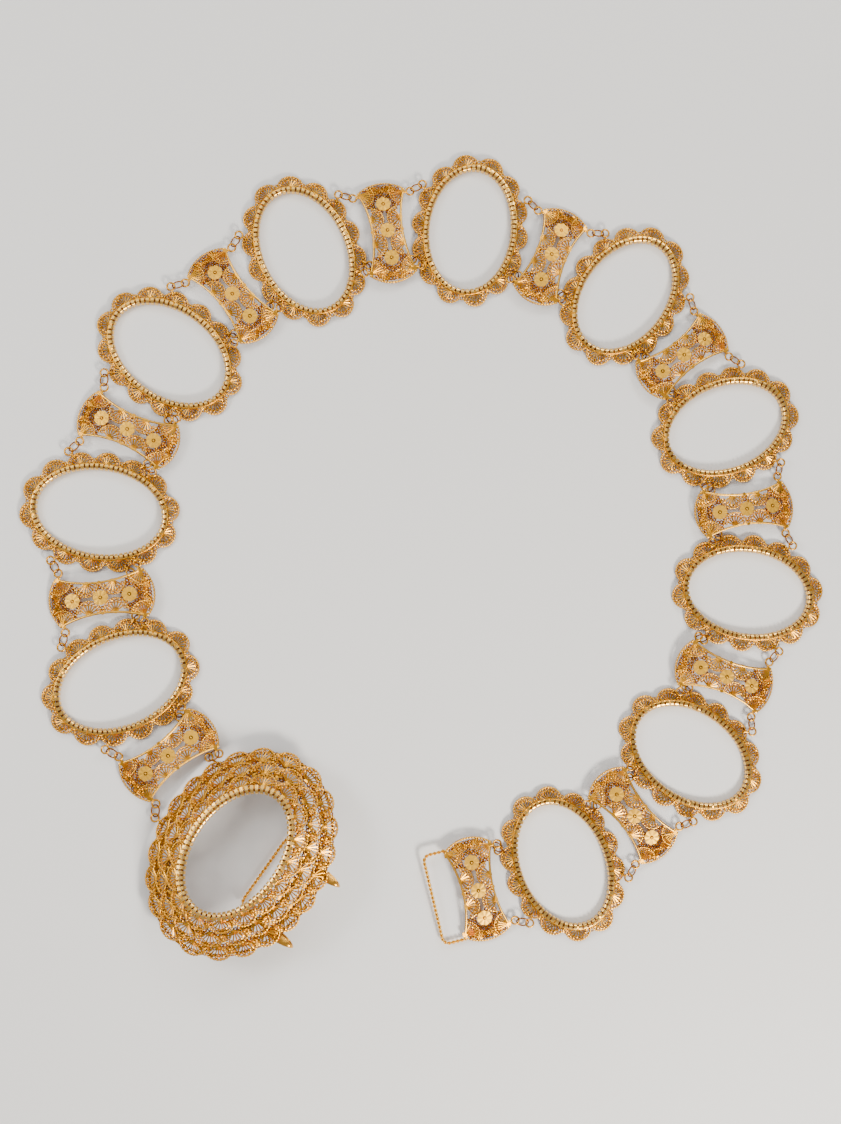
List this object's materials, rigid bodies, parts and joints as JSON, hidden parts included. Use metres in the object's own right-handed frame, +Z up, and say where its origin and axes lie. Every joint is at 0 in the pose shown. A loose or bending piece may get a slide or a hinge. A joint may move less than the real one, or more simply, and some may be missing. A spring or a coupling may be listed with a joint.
{
  "type": "gold filigree belt",
  "caption": "Openwork belt of oval filigree frames and spool links on jump rings, with a domed oval hook buckle and a wire catch loop.",
  "frame": {"origin": "on the surface it lies on, under the middle of the laid belt's box", "axes": "+Z up from the surface, +X to the right of the laid belt as seen in the picture, +Y to its far side"},
  "size_m": [0.3228, 0.321, 0.0238],
  "materials": {
    "frame_gold": "gold wire filigree with a bright cut, reeded rim",
    "link_gold": "gold wire filigree with satin discs",
    "buckle_gold": "gold wire filigree in three tiers round a polished, reeded rim",
    "wire_gold": "plain drawn gold wire"
  },
  "bodies": {
    "root": {"buckle": "buckle_gold", "oval_01": "frame_gold", "oval_02": "frame_gold", "oval_03": "frame_gold", "oval_04": "frame_gold", "oval_05": "frame_gold", "oval_06": "frame_gold", "oval_07": "frame_gold", "oval_08": "frame_gold", "oval_09": "frame_gold", "oval_10": "frame_gold", "spool_01": "link_gold", "spool_02": "link_gold", "spool_03": "link_gold", "spool_04": "link_gold", "spool_05": "link_gold", "spool_06": "link_gold", "spool_07": "link_gold", "spool_08": "link_gold", "spool_09": "link_gold", "spool_10": "link_gold", "spool_11": "link_gold", "rings_01": "wire_gold", "rings_02": "wire_gold", "rings_03": "wire_gold", "rings_04": "wire_gold", "rings_05": "wire_gold", "rings_06": "wire_gold", "rings_07": "wire_gold", "rings_08": "wire_gold", "rings_09": "wire_gold", "rings_10": "wire_gold", "rings_11": "wire_gold", "rings_12": "wire_gold", "rings_13": "wire_gold", "rings_14": "wire_gold", "rings_15": "wire_gold", "rings_16": "wire_gold", "rings_17": "wire_gold", "rings_18": "wire_gold", "rings_19": "wire_gold", "rings_20": "wire_gold", "rings_21": "wire_gold"}
  },
  "joints": []
}
